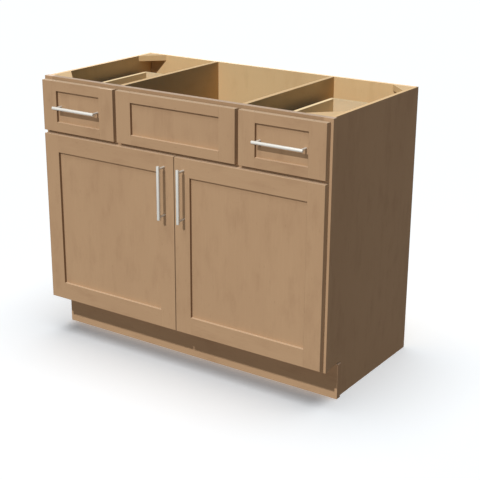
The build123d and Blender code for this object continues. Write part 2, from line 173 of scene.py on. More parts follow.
class Shader:
    """A node tree that is built by calls."""

    def __init__(self, tree: bpy.types.NodeTree) -> None:
        """Start an empty tree."""
        tree.nodes.clear()
        self.tree = tree

    @classmethod
    def of_material(cls, name: str) -> tuple["Shader", bpy.types.Material]:
        """Make a new material with an empty tree.

        Args:
            name: The material's name.

        Returns:
            The shader and its material.
        """
        material = bpy.data.materials.new(name)
        material.use_nodes = True
        return cls(material.node_tree), material

    def node(self, kind: str, settings: dict[str, object], sockets: dict[object, object]) -> bpy.types.Node:
        """Add a node.

        Args:
            kind: The node's type.
            settings: Its properties, set before its sockets.
            sockets: A value or a Wire for each input, by name or index.

        Returns:
            The node.
        """
        made = self.tree.nodes.new(kind)
        for name, value in settings.items():
            setattr(made, name, value)
        for name, value in sockets.items():
            if isinstance(value, Wire):
                self.tree.links.new(value.socket, made.inputs[name])
            else:
                made.inputs[name].default_value = value
        return made

    def wire(self, kind: str, settings: dict[str, object], sockets: dict[object, object],
             output: Union[int, str] = 0) -> Wire:
        """Add a node and give one of its outputs.

        Args:
            kind: The node's type.
            settings: Its properties.
            sockets: Its inputs.
            output: The output, by name or index.

        Returns:
            The output as a Wire.
        """
        return Wire(self, self.node(kind, settings, sockets).outputs[output])

    def axes(self, what: str, letters: Iterable[str]) -> list[Wire]:
        """Give parts of the place or the normal on the piece.

        Args:
            what: Object for the place, or Normal.
            letters: The axes, in order.

        Returns:
            The part along each axis.
        """
        whole = self.wire("ShaderNodeTexCoord", {}, {}, what)
        apart = self.node("ShaderNodeSeparateXYZ", {}, {0: whole})
        return [Wire(self, apart.outputs[letter]) for letter in letters]

    def mix(self, factor: Operand, first: object, second: object) -> Wire:
        """Mix two colours.

        Args:
            factor: The share of the second colour.
            first: The first colour.
            second: The second colour.

        Returns:
            The mixed colour.
        """
        sockets = {0: factor, MIX_A: first, MIX_B: second}
        return self.wire("ShaderNodeMix", {"data_type": "RGBA"}, sockets, MIX_RESULT)

    def ramp(self, value: Wire, low: float, high: float) -> Wire:
        """Stretch a value smoothly so that low becomes 0 and high becomes 1.

        Args:
            value: The value.
            low: Where the result starts to rise.
            high: Where the result is whole.

        Returns:
            The stretched value.
        """
        settings = {"interpolation_type": "SMOOTHSTEP"}
        return self.wire("ShaderNodeMapRange", settings, {0: value, 1: low, 2: high, 3: 0.0, 4: 1.0})

    def noise(self, place: Wire, scale: float, detail: float, roughness: float = 0.5) -> Wire:
        """Add a noise of values about one half.

        Args:
            place: Where it is read.
            scale: Its repeats in a metre.
            detail: Its layers of finer noise.
            roughness: The strength of the finer layers.

        Returns:
            The noise.
        """
        sockets = {"Vector": place, "Scale": scale, "Detail": detail, "Roughness": roughness}
        return self.wire("ShaderNodeTexNoise", {}, sockets)

    def principled(self, sockets: dict[object, object]) -> None:
        """Finish a material with its surface.

        Args:
            sockets: The surface's inputs.
        """
        surface = self.wire("ShaderNodeBsdfPrincipled", {}, sockets)
        self.node("ShaderNodeOutputMaterial", {}, {"Surface": surface})

    def bump(self, height: Wire, strength: float, distance: float) -> Wire:
        """Turn a height into a bumped normal.

        Args:
            height: The height, about 0 to 1.
            strength: How much of it shows.
            distance: The height's size in metres.

        Returns:
            The normal.
        """
        return self.wire("ShaderNodeBump", {}, {"Strength": strength, "Distance": distance, "Height": height})


@dataclass(frozen=True)
class Streaks:
    """One layer of a figure: a noise that is drawn out along the grain or the brush."""

    stretch: float
    scale: float
    detail: float
    share: float
    low: float = 0.0
    high: float = 1.0
    roughness: float = 0.5

    def noise(self, shader: Shader, across: Wire, depth: Wire, along: Wire) -> Wire:
        """Draw the plain noise.

        Args:
            shader: The material's shader.
            across: The place across the grain.
            depth: The place through the board.
            along: The place along the grain.

        Returns:
            The noise, about one half.
        """
        place = shader.wire("ShaderNodeCombineXYZ", {}, {0: across, 1: depth, 2: along * self.stretch})
        return shader.noise(place, self.scale, self.detail, self.roughness)

    def tone(self, shader: Shader, noise: Wire) -> Wire:
        """Give the layer's share in a tone, from its noise."""
        return shader.ramp(noise, self.low, self.high) * self.share


BANDS = Streaks(stretch=0.34, scale=7.0, detail=2.0, low=0.32, high=0.72, share=0.25)
CLOUDS = Streaks(stretch=0.34, scale=24.0, detail=4.0, low=0.46, high=0.74, share=0.55, roughness=0.6)
FLECKS = Streaks(stretch=0.2, scale=240.0, detail=1.0, low=0.69, high=0.78, share=0.32)
LINES = Streaks(stretch=0.035, scale=330.0, detail=3.0, low=0.5, high=0.72, share=0.16, roughness=0.6)
BRUSH_MARKS = Streaks(stretch=0.03, scale=2600.0, detail=2.0, share=0.6, roughness=0.6)


@dataclass(frozen=True)
class MapleFinish:
    """A maple surface under satin lacquer."""

    name: str
    tone: Colour
    dark_tone: Colour
    pale_tone: Colour
    edge_tone: Colour
    # Paler tone for the faces that look up: painted top light.
    top_tone: Colour
    # Darker tone for the walls of a recess: painted shade.
    recess_tone: Optional[Colour] = None
    roughness: float = 0.5
    gloss: float = 0.02
    figure: float = 0.55
    line_sheen: float = 0.22
    line_bump: float = 0.16
    line_depth: float = 0.25 * MM

    def tint(self, shader: Shader, grain: Grain, shift: float) -> tuple[Wire, Wire]:
        """Draw the figure of a board.

        Args:
            shader: The material's shader.
            grain: The way the grain runs.
            shift: A move along the pattern, so that boards differ.

        Returns:
            The colour, and the fine grain as a height from 0 to 1.
        """
        across, depth, along = shader.axes("Object", grain.value)
        place = (across + shift, depth, along)
        lines = LINES.noise(shader, *place)
        layers = (BANDS, CLOUDS, FLECKS)
        bands, clouds, flecks = [layer.tone(shader, layer.noise(shader, *place)) for layer in layers]
        colour = shader.mix((clouds + bands) * self.figure + flecks, self.tone, self.dark_tone)
        return shader.mix(LINES.tone(shader, lines), colour, self.pale_tone), lines

    def with_ends(self, shader: Shader, colour: Wire, grain: Grain) -> Wire:
        """Change the tone of the end grain, and paint top light on the faces that look up as a paler tone.

        Args:
            shader: The material's shader.
            colour: The board's colour.
            grain: The way the grain runs.

        Returns:
            The colour with end grain and painted top light.
        """
        along, painted_top_light_mask = shader.axes("Normal", (grain.value[2], "Z"))
        with_cut = shader.mix(abs(along) > FACING, colour, self.edge_tone)
        # Faces that look up take the paler tone: painted top light.
        return shader.mix(painted_top_light_mask > FACING, with_cut, self.top_tone)

    def with_recess(self, shader: Shader, colour: Wire, middle: float) -> Wire:
        """Paint shade on the walls of a recess, as a darker tone.

        Args:
            shader: The material's shader.
            colour: The board's colour.
            middle: The recess's middle, which its walls look towards.

        Returns:
            The colour with painted shade on the recess walls.
        """
        [looks] = shader.axes("Normal", "X")
        [stands] = shader.axes("Object", "X")
        left_wall = (looks > FACING) * (middle - stands > 0.0)
        right_wall = (looks * -1.0 > FACING) * (stands - middle > 0.0)
        # The walls that face the recess's middle take the darker tone: painted shade.
        return shader.mix(left_wall + right_wall, colour, self.recess_tone)

    def material(self, grain: Grain, shift: float,
                 recess_middle: Optional[float] = None) -> bpy.types.Material:
        """Make the finish for boards of one grain.

        Args:
            grain: The way the grain runs.
            shift: A move along the pattern.
            recess_middle: The middle of the recess that the boards stand beside, whose walls get painted
                shade, if there is one.

        Returns:
            The material.
        """
        shader, material = Shader.of_material(f"{self.name}_{grain.name.lower()}_{shift:g}")
        colour, lines = self.tint(shader, grain, shift)
        colour = self.with_ends(shader, colour, grain)
        if recess_middle is not None:
            colour = self.with_recess(shader, colour, recess_middle)
        self.surface(shader, colour, lines)
        return material

    def surface(self, shader: Shader, colour: Wire, lines: Wire) -> None:
        """Put a lacquered surface on a colour.

        Args:
            shader: The material's shader.
            colour: The wood's colour.
            lines: The fine grain.
        """
        shader.principled({
            "Base Color": colour,
            "Roughness": self.roughness + (lines - 0.5) * self.line_sheen,
            "Specular IOR Level": self.gloss,
            "Normal": shader.bump(lines, self.line_bump, self.line_depth),
        })


@dataclass(frozen=True)
class EndPanelFinish:
    """A panel that is stained outside and natural inside, with a natural edge on top made paler as painted
    top light.
    """

    outside: MapleFinish
    inside: MapleFinish
    side: Side
    outside_shift: float = 3.0
    inside_shift: float = 4.0
    outward_cosine: float = 0.5

    def material(self) -> bpy.types.Material:
        """Make the two-faced finish."""
        shader, material = Shader.of_material(f"{self.side.word}_end_panel_maple")
        stained, lines = self.outside.tint(shader, Grain.UPRIGHT, self.outside_shift)
        natural, _ = self.inside.tint(shader, Grain.UPRIGHT, self.inside_shift)
        natural = self.inside.with_ends(shader, natural, Grain.UPRIGHT)
        [looks] = shader.axes("Normal", "X")
        outward = looks * float(self.side.value) > self.outward_cosine
        self.outside.surface(shader, shader.mix(outward, natural, stained), lines)
        return material


@dataclass(frozen=True)
class MetalFinish:
    """A plated or brushed metal, its brush marks along one way."""

    name: str
    tone: Colour
    shade: Colour
    roughness: float
    brush: Grain
    brush_bump: float = 0.1
    metallic: float = 1.0
    mark_depth: float = 0.05 * MM
    mark_sheen: float = 0.16
    cloud_scale: float = 60.0
    cloud_share: float = 0.3
    cloud_sheen: float = 0.08

    def material(self) -> bpy.types.Material:
        """Make the metal."""
        shader, material = Shader.of_material(self.name)
        marks = BRUSH_MARKS.noise(shader, *shader.axes("Object", self.brush.value))
        place = shader.wire("ShaderNodeTexCoord", {}, {}, "Object")
        clouds = shader.noise(place, self.cloud_scale, 2.0)
        shaded = marks * BRUSH_MARKS.share + clouds * self.cloud_share
        shader.principled({
            "Base Color": shader.mix(shaded, self.tone, self.shade),
            "Metallic": self.metallic,
            "Roughness": self.roughness + (marks - 0.5) * self.mark_sheen + (clouds - 0.5) * self.cloud_sheen,
            "Normal": shader.bump(marks, self.brush_bump, self.mark_depth),
        })
        return material


@dataclass(frozen=True)
class RubberFinish:
    """A soft, cloudy bumper pad."""

    name: str
    tone: Colour
    dust: Colour
    roughness: float = 0.32
    gloss: float = 0.5
    cloud_scale: float = 900.0
    cloud_sheen: float = 0.2
    cloud_bump: float = 0.1
    cloud_depth: float = 0.1 * MM

    def material(self) -> bpy.types.Material:
        """Make the rubber."""
        shader, material = Shader.of_material(self.name)
        place = shader.wire("ShaderNodeTexCoord", {}, {}, "Object")
        clouds = shader.noise(place, self.cloud_scale, 3.0)
        shader.principled({
            "Base Color": shader.mix(clouds, self.tone, self.dust),
            "Roughness": self.roughness + clouds * self.cloud_sheen,
            "Specular IOR Level": self.gloss,
            "Normal": shader.bump(clouds, self.cloud_bump, self.cloud_depth),
        })
        return material


STAINED = MapleFinish(
    name="stained_maple",
    tone=paint(174, 143, 111),
    dark_tone=paint(150, 118, 90),
    pale_tone=paint(186, 156, 124),
    edge_tone=paint(168, 136, 105),
    # Upward faces paler: painted top light.
    top_tone=paint(210, 181, 155),
)
# The fronts' copy of the stained maple: a paler painted top light, and a darker tone on recess walls as
# painted shade.
FRONT_MAPLE = replace(
    STAINED, name="front_maple", top_tone=paint(214, 184, 152), recess_tone=paint(132, 105, 80)
)
NATURAL = MapleFinish(
    name="natural_maple",
    tone=paint(223, 189, 140),
    dark_tone=paint(202, 164, 116),
    pale_tone=paint(230, 200, 154),
    edge_tone=paint(216, 184, 134),
    # Upward faces paler: painted top light.
    top_tone=paint(240, 202, 152),
    figure=0.45,
)
# The bottom panel's copy of the natural maple differs only in a dimmer painted top light.
FLOOR_MAPLE = replace(NATURAL, name="floor_maple", top_tone=paint(218, 184, 132))
BOX_MAPLE = MapleFinish(
    name="drawer_maple",
    tone=paint(216, 194, 160),
    dark_tone=paint(198, 172, 136),
    pale_tone=paint(226, 206, 174),
    edge_tone=paint(216, 191, 152),
    # Upward faces paler: painted top light.
    top_tone=paint(222, 198, 158),
    figure=0.4,
)
# Two copies of one nickel: the upright copy's darker tone is painted shade and the level copy's lighter tone
# is painted light; their brush directions differ as well.
NICKEL_UPRIGHT_PAINTED_SHADE = MetalFinish(
    name="satin_nickel_upright",
    tone=paint(208, 206, 199),
    shade=paint(188, 186, 179),
    roughness=0.34,
    brush=Grain.UPRIGHT,
    metallic=0.35,
)
NICKEL_LEVEL_PAINTED_LIGHT = replace(
    NICKEL_UPRIGHT_PAINTED_SHADE, name="satin_nickel_level", tone=paint(220, 217, 209), brush=Grain.ACROSS
)
HINGE_STEEL = MetalFinish(
    name="nickel_steel",
    tone=paint(196, 193, 187),
    shade=paint(160, 157, 150),
    roughness=0.24,
    brush=Grain.UPRIGHT,
    brush_bump=0.04,
)
ZINC_STEEL = MetalFinish(
    name="zinc_steel",
    tone=paint(186, 190, 194),
    shade=paint(146, 150, 156),
    roughness=0.36,
    brush=Grain.DEEP,
    brush_bump=0.06,
)
BUMPER_RUBBER = RubberFinish(name="clear_rubber", tone=paint(214, 213, 205), dust=paint(190, 188, 178))


class Bench:
    """Modelling by hand: primitives, edit-mode operators and applied modifiers."""

    @staticmethod
    def clear_selection() -> None:
        """Leave nothing selected and nothing in edit mode."""
        if bpy.context.object and bpy.context.object.mode != "OBJECT":
            bpy.ops.object.mode_set(mode="OBJECT")
        bpy.ops.object.select_all(action="DESELECT")

    @classmethod
    def pick(cls, piece: Piece) -> None:
        """Select one piece alone and make it active."""
        cls.clear_selection()
        piece.select_set(True)
        bpy.context.view_layer.objects.active = piece

    @classmethod
    def settle(cls, piece: Piece) -> None:
        """Move a piece's place, turn and size into its mesh."""
        cls.pick(piece)
        bpy.ops.object.transform_apply(location=True, rotation=True, scale=True)

    @classmethod
    def rod(cls, name: str, radius: float, start: Vector, end: Vector, sides: int) -> Piece:
        """Add a round rod between two points.

        Args:
            name: The piece's name.
            radius: The rod's radius.
            start: The middle of one end.
            end: The middle of the other end.
            sides: The number of sides.

        Returns:
            The rod, with its place in its mesh.
        """
        cls.clear_selection()
        way = end - start
        turn = UP.rotation_difference(way).to_euler()
        bpy.ops.mesh.primitive_cylinder_add(
            vertices=sides, radius=radius, depth=way.length, location=(start + end) / 2, rotation=turn
        )
        piece = bpy.context.object
        piece.name = name
        cls.settle(piece)
        return piece

    @classmethod
    def block(cls, name: str, centre: Vector, size: Vector) -> Piece:
        """Add a square block.

        Args:
            name: The piece's name.
            centre: Its middle.
            size: Its length along X, Y and Z.

        Returns:
            The block, with its place in its mesh.
        """
        cls.clear_selection()
        bpy.ops.mesh.primitive_cube_add(size=1.0, location=centre)
        piece = bpy.context.object
        piece.name = name
        piece.scale = size
        cls.settle(piece)
        return piece

    @classmethod
    def bevel(cls, piece: Piece, chosen: Callable[[bmesh.types.BMEdge], bool], width: float,
              steps: int) -> None:
        """Round chosen edges.

        Args:
            piece: The piece.
            chosen: Tells whether an edge is rounded.
            width: The bevel's width.
            steps: Its number of segments.
        """
        cls.pick(piece)
        bpy.ops.object.mode_set(mode="EDIT")
        bpy.ops.mesh.select_mode(type="EDGE")
        bpy.ops.mesh.select_all(action="DESELECT")
        form = bmesh.from_edit_mesh(piece.data)
        for edge in form.edges:
            edge.select_set(bool(chosen(edge)))
        bmesh.update_edit_mesh(piece.data)
        bpy.ops.mesh.bevel(offset=width, segments=steps, affect="EDGES", clamp_overlap=True)
        bpy.ops.object.mode_set(mode="OBJECT")

    @classmethod
    def combine(cls, piece: Piece, other: Piece, operation: str) -> None:
        """Join another piece to a piece or cut it from it, and remove the other.

        Args:
            piece: The piece that stays.
            other: The piece that is joined or cut away.
            operation: UNION or DIFFERENCE.
        """
        cls.pick(piece)
        modifier = piece.modifiers.new("combine", "BOOLEAN")
        modifier.operation = operation
        modifier.solver = "EXACT"
        modifier.object = other
        bpy.ops.object.modifier_apply(modifier=modifier.name)
        bpy.data.objects.remove(other)

    @classmethod
    def smooth(cls, piece: Piece, angle: float) -> None:
        """Merge doubles, turn the faces outwards and shade the round stretches smooth.

        Args:
            piece: The piece.
            angle: The sharpest angle that is shaded smooth, in degrees.
        """
        cls.pick(piece)
        bpy.ops.object.mode_set(mode="EDIT")
        bpy.ops.mesh.select_all(action="SELECT")
        bpy.ops.mesh.remove_doubles(threshold=MERGE_DISTANCE)
        bpy.ops.mesh.normals_make_consistent(inside=False)
        bpy.ops.object.mode_set(mode="OBJECT")
        bpy.ops.object.shade_smooth_by_angle(angle=math.radians(angle))

    @classmethod
    def copies(cls, master: Piece, name: str, seats: Iterable[Seat]) -> Piece:
        """Set copies of a master on seats and join them into one piece.

        Args:
            master: The piece, modelled at the origin and standing up along +Z.
            name: The joined piece's name.
            seats: The foot and the direction of each copy.

        Returns:
            The joined piece.
        """
        made = []
        for foot, way in seats:
            copy = master.copy()
            copy.data = master.data.copy()
            bpy.context.scene.collection.objects.link(copy)
            copy.matrix_world = Matrix.Translation(foot) @ UP.rotation_difference(way).to_matrix().to_4x4()
            made.append(copy)
        cls.clear_selection()
        for copy in made:
            copy.select_set(True)
        bpy.context.view_layer.objects.active = made[0]
        bpy.ops.object.join()
        joined = bpy.context.object
        joined.name = name
        cls.settle(joined)
        return joined

    @classmethod
    def smooth_copy(cls, node: Piece, name: str, angle: float) -> Piece:
        """Copy a CAD node's mesh into a new piece with smooth round stretches.

        Args:
            node: The CAD node.
            name: The new piece's name.
            angle: The sharpest angle that is shaded smooth, in degrees.

        Returns:
            The new piece.
        """
        copy = bpy.data.objects.new(name, node.data.copy())
        bpy.context.scene.collection.objects.link(copy)
        copy.data.materials.clear()
        cls.smooth(copy, angle)
        return copy


def wear(piece: Piece, material: bpy.types.Material) -> None:
    """Give a piece one material.

    Args:
        piece: The piece.
        material: Its material.
    """
    piece.data.materials.clear()
    piece.data.materials.append(material)


def report(piece: Piece, body: str, slot: str, *nodes: str) -> None:
    """Hang a finished piece on its body and hide the CAD nodes that it stands for.

    Args:
        piece: The piece.
        body: The CAD body that it moves with.
        slot: The name of a material slot; not used.
        nodes: The CAD nodes that it stands for.
    """
    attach(piece, body)
    if nodes:
        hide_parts(*nodes)
    LOG.info("%s rides on %s, %d faces", piece.name, body, len(piece.data.polygons))


@dataclass
class Boards:
    """The wooden CAD nodes, with their eased edges and finishes."""

    nodes: dict[str, Piece]
    edge_round: float = 0.25 * MM
    edge_steps: int = 2
    edge_angle: float = 30.0
    made: dict[str, bpy.types.Material] = field(default_factory=dict)

    def ease(self, node: Piece) -> None:
        """Round a board's sharp edges a little.

        Args:
            node: The board.
        """
        weld = node.modifiers.new("weld", "WELD")
        weld.merge_threshold = MERGE_DISTANCE
        bevel = node.modifiers.new("eased_edges", "BEVEL")
        bevel.width = self.edge_round
        bevel.segments = self.edge_steps
        bevel.limit_method = "ANGLE"
        bevel.angle_limit = math.radians(self.edge_angle)

    def dress(self, names: Iterable[str], finish: MapleFinish, grain: Grain, shift: float,
              panel: Optional[str] = None) -> None:
        """Dress boards that share a finish.

        Args:
            names: The boards.
            finish: Their finish.
            grain: The way their grain runs.
            shift: The pattern's move.
            panel: The recessed panel that they stand beside, if there is one.
        """
        middle = None
        if panel:
            low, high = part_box(panel)
            middle = (low.x + high.x) / 2
        key = f"{finish.name} {grain.name} {shift} {middle}"
        if key not in self.made:
            self.made[key] = finish.material(grain, shift, middle)
        for name in names:
            wear(self.nodes[name], self.made[key])
            self.ease(self.nodes[name])

    def dress_carcass(self) -> None:
        """Dress the box of the cabinet."""
        for side in Side:
            name = f"{side.word}_end_panel"
            wear(self.nodes[name], EndPanelFinish(STAINED, NATURAL, side).material())
            self.ease(self.nodes[name])
        self.dress(["back_panel"], NATURAL, Grain.UPRIGHT, 5.0)
        self.dress(["left_partition", "right_partition"], NATURAL, Grain.DEEP, 6.0)
        self.dress(["bottom_panel"], FLOOR_MAPLE, Grain.ACROSS, 7.0)
        self.dress(["corner_blocks"], NATURAL, Grain.ACROSS, 7.0)
        self.dress(["toe_kick_board"], STAINED, Grain.ACROSS, 8.0)

    def dress_frame(self) -> None:
        """Dress the face frame."""
        self.dress(["left_stile", "drawer_mullions"], STAINED, Grain.UPRIGHT, 9.0)
        self.dress(["right_stile"], STAINED, Grain.UPRIGHT, 9.7)
        self.dress(["top_rail", "middle_rail", "bottom_rail"], STAINED, Grain.ACROSS, 10.0)

    def dress_fronts(self) -> None:
        """Dress the doors, the drawer fronts and the fixed front."""
        for number, side in enumerate(Side):
            shift = 11.0 + number * 0.6
            word = side.word
            door, drawer = f"{word}_door_panel", f"{word}_drawer_front_panel"
            self.dress([f"{word}_door_hinge_stile"], FRONT_MAPLE, Grain.UPRIGHT, shift, door)
            self.dress([f"{word}_door_meeting_stile"], FRONT_MAPLE, Grain.UPRIGHT, shift + 2.0, door)
            self.dress([door], FRONT_MAPLE, Grain.UPRIGHT, shift + 4.0)
            self.dress([drawer], FRONT_MAPLE, Grain.UPRIGHT, shift + 6.0)
            self.dress([f"{word}_drawer_front_stiles"], FRONT_MAPLE, Grain.UPRIGHT, shift + 8.0, drawer)
            rails = [f"{word}_door_top_rail", f"{word}_door_bottom_rail", f"{word}_drawer_front_rails"]
            self.dress(rails, FRONT_MAPLE, Grain.ACROSS, shift)
        self.dress(["false_front_panel"], FRONT_MAPLE, Grain.UPRIGHT, 23.0)
        self.dress(["false_front_stiles"], FRONT_MAPLE, Grain.UPRIGHT, 24.0, "false_front_panel")
        self.dress(["false_front_rails"], FRONT_MAPLE, Grain.ACROSS, 25.0)

    def dress_drawers(self) -> None:
        """Dress the drawer boxes."""
        for side in Side:
            word = side.word
            self.dress([f"{word}_drawer_box_sides"], BOX_MAPLE, Grain.DEEP, 26.0)
            ends = [f"{word}_drawer_box_front", f"{word}_drawer_box_back"]
            self.dress(ends, BOX_MAPLE, Grain.ACROSS, 27.0)
            self.dress([f"{word}_drawer_bottom"], BOX_MAPLE, Grain.DEEP, 28.0)


@dataclass
class BarPull:
    """A satin bar on two posts."""

    node: str
    name: str
    body: str
    metal: bpy.types.Material
    post_radius: float = 3.2 * MM
    end_round: float = 1.3 * MM
    end_steps: int = 5
    foot_round: float = 0.5 * MM
    foot_steps: int = 3
    bar_sides: int = 48
    post_sides: int = 32
    smooth_angle: float = 40.0

    def build(self) -> Piece:
        """Model the pull in the place of its CAD node."""
        low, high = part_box(self.node)
        size = high - low
        along = Vector((1, 0, 0)) if size.x > size.z else UP
        radius = min(size.x, size.z) / 2
        middle = (low + high) / 2
        middle.y = low.y + radius
        reach = along * (max(size.x, size.z) / 2)
        bar = Bench.rod(self.name, radius, middle - reach, middle + reach, self.bar_sides)
        at_end = reach.length - MERGE_DISTANCE
        Bench.bevel(bar, lambda edge: self.on_rim(edge, middle, along, at_end), self.end_round,
                    self.end_steps)
        for way in (-1, 1):
            top = middle + along * (way * PULL_SPACING / 2)
            foot = Vector((top.x, high.y, top.z))
            post = Bench.rod("post", self.post_radius, foot, top, self.post_sides)
            Bench.bevel(post, lambda edge: self.at_foot(edge, high.y), self.foot_round, self.foot_steps)
            Bench.combine(bar, post, "UNION")
        Bench.smooth(bar, self.smooth_angle)
        return bar

    @staticmethod
    def on_rim(edge: bmesh.types.BMEdge, middle: Vector, along: Vector, at_end: float) -> bool:
        """Tell whether an edge lies in one of the bar's ends."""
        return all(abs((corner.co - middle).dot(along)) > at_end for corner in edge.verts)

    @staticmethod
    def at_foot(edge: bmesh.types.BMEdge, face: float) -> bool:
        """Tell whether an edge lies where a post meets the front."""
        return all(abs(corner.co.y - face) < MERGE_DISTANCE for corner in edge.verts)

    def dress(self) -> None:
        """Build the pull and give it its finish."""
        pull = self.build()
        wear(pull, self.metal)
        report(pull, self.body, "satin_nickel", self.node)


@dataclass
class NailHead:
    """A flat round nail head."""

    name: str = "nail_head_master"
    radius: float = 1.6 * MM
    height: float = 0.3 * MM
    rim: float = 0.15 * MM
    rim_steps: int = 2
    sides: int = 16
    smooth_angle: float = 40.0

    def build(self) -> Piece:
        """Model one head at the origin, standing up along +Z."""
        head = Bench.rod(self.name, self.radius, Vector((0, 0, 0)), UP * self.height, self.sides)
        Bench.bevel(head, self.on_top, self.rim, self.rim_steps)
        self.cut_slots(head)
        Bench.smooth(head, self.smooth_angle)
        return head

    def cut_slots(self, head: Piece) -> None:
        """Leave a nail's head plain."""

    def on_top(self, edge: bmesh.types.BMEdge) -> bool:
        """Tell whether an edge is the rim of the head's top."""
        return all(corner.co.z > self.height - MERGE_DISTANCE for corner in edge.verts)


@dataclass
class ScrewHead(NailHead):
    """A domed screw head with a cross recess."""

    name: str = "screw_head_master"
    radius: float = 3.8 * MM
    height: float = 2.0 * MM
    rim: float = 1.3 * MM
    rim_steps: int = 4
    sides: int = 28
    smooth_angle: float = 35.0
    slot_length: float = 4.2 * MM
    slot_width: float = 0.9 * MM
    slot_depth: float = 1.1 * MM

    def cut_slots(self, head: Piece) -> None:
        """Cut the cross into the head's top.

        Args:
            head: The head.
        """
        middle = UP * (self.height - self.slot_depth / 2 + MERGE_DISTANCE)
        for long_way in (Vector((1, 0, 0)), BACK):
            size = Vector((self.slot_width, self.slot_width, self.slot_depth))
            size += long_way * (self.slot_length - self.slot_width)
            Bench.combine(head, Bench.block("slot", middle, size), "DIFFERENCE")


@dataclass
class Fasteners:
    """The screws and nails that show when the doors and drawers are open, and on the back."""

    steel: bpy.types.Material
    zinc: bpy.types.Material
    wing_offset: float = 7.0 * MM
    wing_half: float = 31.0 * MM
    wing_screw: float = 24.5 * MM
    arm_half: float = 20.0 * MM
    arm_screw: float = 14.5 * MM
    arm_steel: float = 1.2 * MM
    slide_steel: float = 1.2 * MM
    bracket_steel: float = 1.5 * MM
    bracket_lift: float = 9.0 * MM
    bracket_reach: float = 12.0 * MM
    angle_height: float = 24.0 * MM
    angle_front_screw: float = 9.6 * MM
    angle_mullion_screw: float = 6.4 * MM
    slide_screw_places: tuple[float, ...] = (36.0 * MM, 150.0 * MM, 420.0 * MM)
    fixing_spacing: float = 96.0 * MM
    fixing_drop: float = 22.0 * MM
    nail_pitch: float = 125.0 * MM
    nail_inset: float = 6.0 * MM
    nail_edge: float = 3.0 * MM

    def dress(self) -> None:
        """Build every group of fasteners."""
        screw = ScrewHead().build()
        for side in Side:
            door, drawer = f"{side.word}_door", f"{side.word}_drawer"
            self.place(screw, f"{side.word}_hinge_wing_screws", self.wing_seats(side), door, self.steel)
            self.place(screw, f"{drawer}_slide_screws", self.slide_seats(side), drawer, self.zinc)
            self.place(screw, f"{drawer}_front_screws", self.front_seats(side), drawer, self.zinc)
        self.place(screw, "hinge_arm_screws", self.arm_seats(), "cabinet", self.steel)
        self.place(screw, "slide_bracket_screws", self.bracket_seats(), "cabinet", self.zinc)
        self.place(screw, "false_front_bracket_screws", self.angle_seats(), "cabinet", self.zinc)
        nail = NailHead().build()
        self.place(nail, "back_panel_nails", self.nail_seats(), "cabinet", self.zinc)
        bpy.data.objects.remove(screw)
        bpy.data.objects.remove(nail)

    def place(self, master: Piece, name: str, seats: list[Seat], body: str,
              metal: bpy.types.Material) -> None:
        """Set one group of fasteners on its seats.

        Args:
            master: The modelled fastener.
            name: The group's name.
            seats: The foot and direction of each.
            body: The CAD body that they move with.
            metal: Their material.
        """
        group = Bench.copies(master, name, seats)
        wear(group, metal)
        report(group, body, HINGE_STEEL.name if metal == self.steel else ZINC_STEEL.name)

    def wing_seats(self, side: Side) -> list[Seat]:
        """Give the seats on the wings of one door's hinge cups."""
        low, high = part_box(f"{side.word}_door_hinge_cups")
        x = (low.x + high.x) / 2 - side.value * self.wing_offset
        heights = (low.z + self.wing_half, high.z - self.wing_half)
        offsets = (-self.wing_screw, self.wing_screw)
        return [(Vector((x, high.y, z + step)), BACK) for z in heights for step in offsets]

    def arm_seats(self) -> list[Seat]:
        """Give the seats on the feet of the hinge arms."""
        low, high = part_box("hinge_arms")
        frame_low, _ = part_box("left_stile")
        y = (frame_low.y + high.y) / 2
        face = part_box("top_rail")[1].x - self.arm_steel
        heights = (low.z + self.arm_half, high.z - self.arm_half)
        offsets = (-self.arm_screw, self.arm_screw)
        places = [(side.value, z + step) for side in Side for z in heights for step in offsets]
        return [(Vector((sign * face, y, z)), Vector((-sign, 0, 0))) for sign, z in places]

    def slide_seats(self, side: Side) -> list[Seat]:
        """Give the seats inside the drawer members of one drawer's slides."""
        low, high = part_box(f"{side.word}_drawer_slide_members")
        box_low, box_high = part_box(f"{side.word}_drawer_box_sides")
        z = (low.z + high.z) / 2
        walls = ((box_low.x - self.slide_steel, -1), (box_high.x + self.slide_steel, 1))
        places = [(x, way, low.y + step) for x, way in walls for step in self.slide_screw_places]
        return [(Vector((x, y, z)), Vector((way, 0, 0))) for x, way, y in places]

    def front_seats(self, side: Side) -> list[Seat]:
        """Give the seats inside one drawer, for its pull and its front."""
        low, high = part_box(f"{side.word}_drawer_box_front")
        pull_low, pull_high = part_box(f"{side.word}_drawer_pull")
        middle = (pull_low + pull_high) / 2
        seats = []
        for way in (-1, 1):
            seats.append(Vector((middle.x + way * PULL_SPACING / 2, high.y, middle.z)))
            fixing_z = middle.z - self.fixing_drop
            seats.append(Vector((middle.x + way * self.fixing_spacing / 2, high.y, fixing_z)))
        return [(seat, BACK) for seat in seats]

    def bracket_seats(self) -> list[Seat]:
        """Give the seats on the feet of the rear slide brackets."""
        low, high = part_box("slide_rear_brackets")
        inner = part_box("drawer_mullions")[1].x
        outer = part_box("top_rail")[1].x
        z = (low.z + high.z) / 2
        y = high.y - self.bracket_steel
        places = [inner + self.bracket_reach, outer - self.bracket_reach]
        places += [-x for x in places]
        lifts = (-self.bracket_lift, self.bracket_lift)
        return [(Vector((x, y, z + lift)), -BACK) for x in places for lift in lifts]

    def angle_seats(self) -> list[Seat]:
        """Give the seats on both legs of the false front's angle brackets."""
        low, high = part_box("false_front_brackets")
        heights = (low.z + self.angle_height / 2, high.z - self.angle_height / 2)
        front_x, front_y = high.x - self.angle_front_screw, low.y + self.bracket_steel
        mullion_x, mullion_y = high.x - self.bracket_steel, high.y - self.angle_mullion_screw
        seats = []
        for sign in (-1, 1):
            for z in heights:
                seats.append((Vector((sign * front_x, front_y, z)), BACK))
                seats.append((Vector((sign * mullion_x, mullion_y, z)), Vector((-sign, 0, 0))))
        return seats

